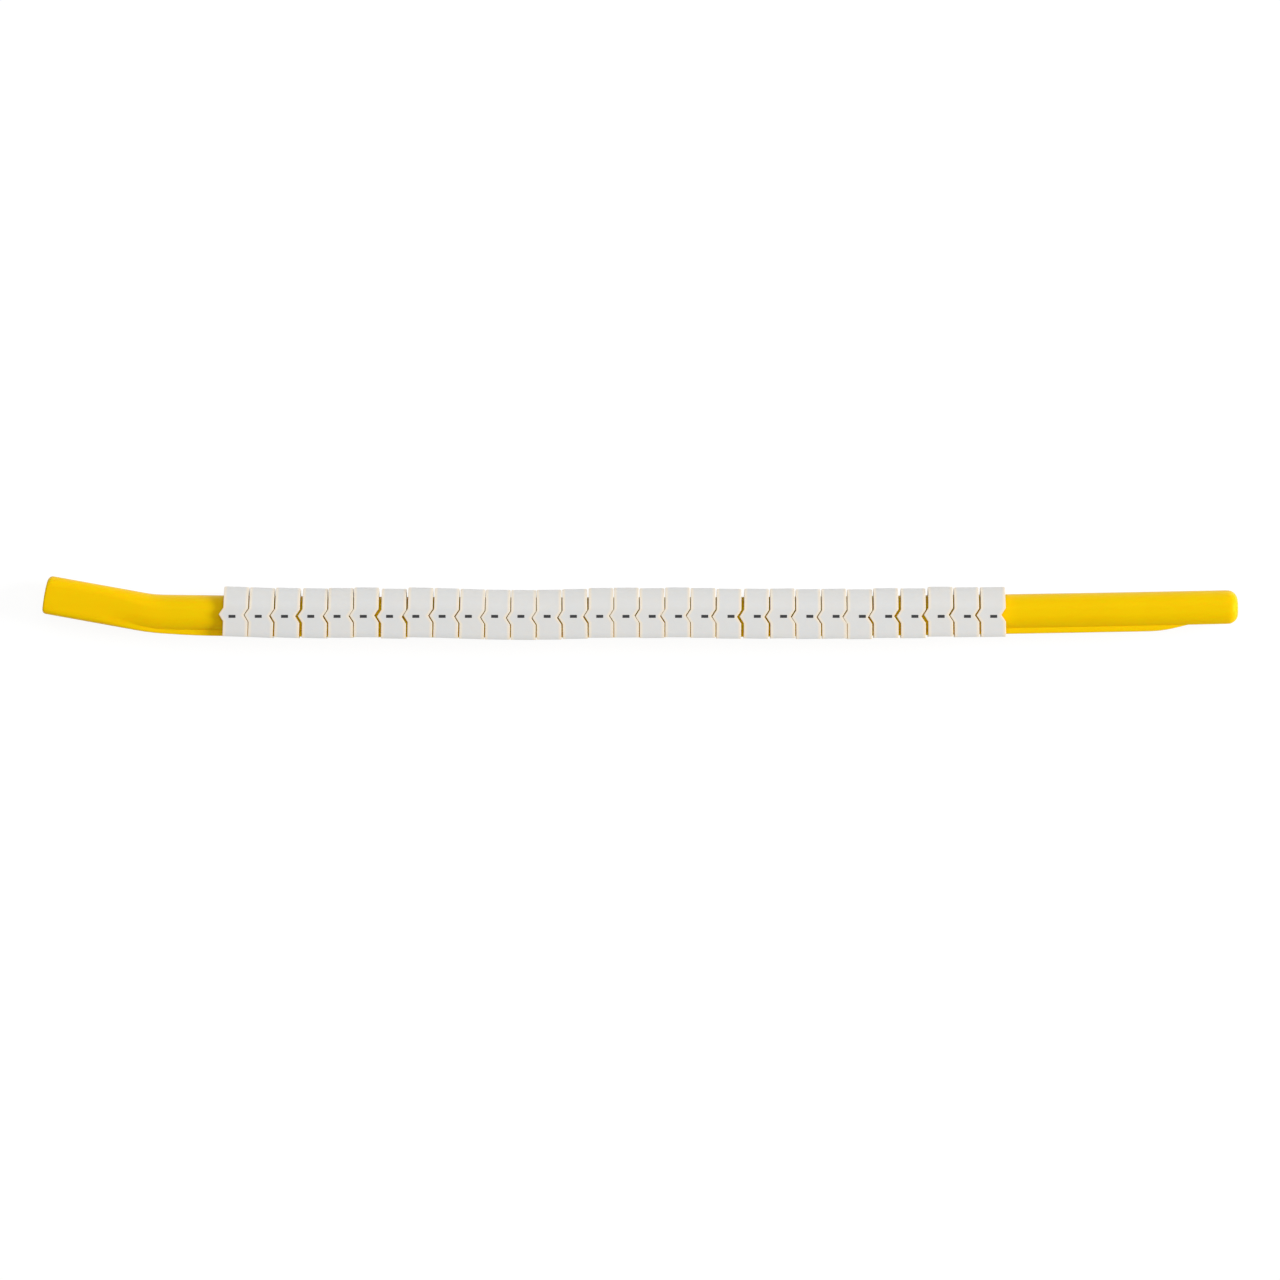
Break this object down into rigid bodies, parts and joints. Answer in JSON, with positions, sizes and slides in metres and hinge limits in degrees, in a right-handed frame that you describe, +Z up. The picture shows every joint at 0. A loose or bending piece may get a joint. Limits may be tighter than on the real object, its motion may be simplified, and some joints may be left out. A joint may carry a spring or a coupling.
{
  "type": "cable marker",
  "caption": "Clip-on cable marker sleeves with interlocking chevron ends, carried in a column on a bent applicator wand with an open cable channel.",
  "frame": {"origin": "on the surface that the part lies on, below the middle of its outline", "axes": "+X along the wand from the handle to the nose, +Y towards the closed side of the sleeves, +Z up from the surface, which the flat sides of the sleeves lie on"},
  "size_m": [0.1916, 0.0104, 0.0071],
  "materials": {
    "wand_plastic": "yellow moulded plastic, satin",
    "sleeve_plastic": "white extruded plastic, satin, a little translucent at the cut ends"
  },
  "bodies": {
    "wand": {"wand": "wand_plastic"},
    "marker_column": {"marker_01": "sleeve_plastic", "marker_02": "sleeve_plastic", "marker_03": "sleeve_plastic", "marker_04": "sleeve_plastic", "marker_05": "sleeve_plastic", "marker_06": "sleeve_plastic", "marker_07": "sleeve_plastic", "marker_08": "sleeve_plastic", "marker_09": "sleeve_plastic", "marker_10": "sleeve_plastic", "marker_11": "sleeve_plastic", "marker_12": "sleeve_plastic", "marker_13": "sleeve_plastic", "marker_14": "sleeve_plastic", "marker_15": "sleeve_plastic", "marker_16": "sleeve_plastic", "marker_17": "sleeve_plastic", "marker_18": "sleeve_plastic", "marker_19": "sleeve_plastic", "marker_20": "sleeve_plastic", "marker_21": "sleeve_plastic", "marker_22": "sleeve_plastic", "marker_23": "sleeve_plastic", "marker_24": "sleeve_plastic", "marker_25": "sleeve_plastic", "marker_26": "sleeve_plastic", "marker_27": "sleeve_plastic", "marker_28": "sleeve_plastic", "marker_29": "sleeve_plastic"},
    "lead_marker": {"marker_30": "sleeve_plastic"}
  },
  "joints": [
    {"name": "column_slide", "type": "slide", "parent": "wand", "child": "marker_column", "axis": [1, 0.004, 0], "range_m": [-0.009, 0.032]},
    {"name": "lead_marker_slide", "type": "slide", "parent": "marker_column", "child": "lead_marker", "axis": [0.9998, 0.018, 0], "range_m": [0, 0.045]}
  ]
}
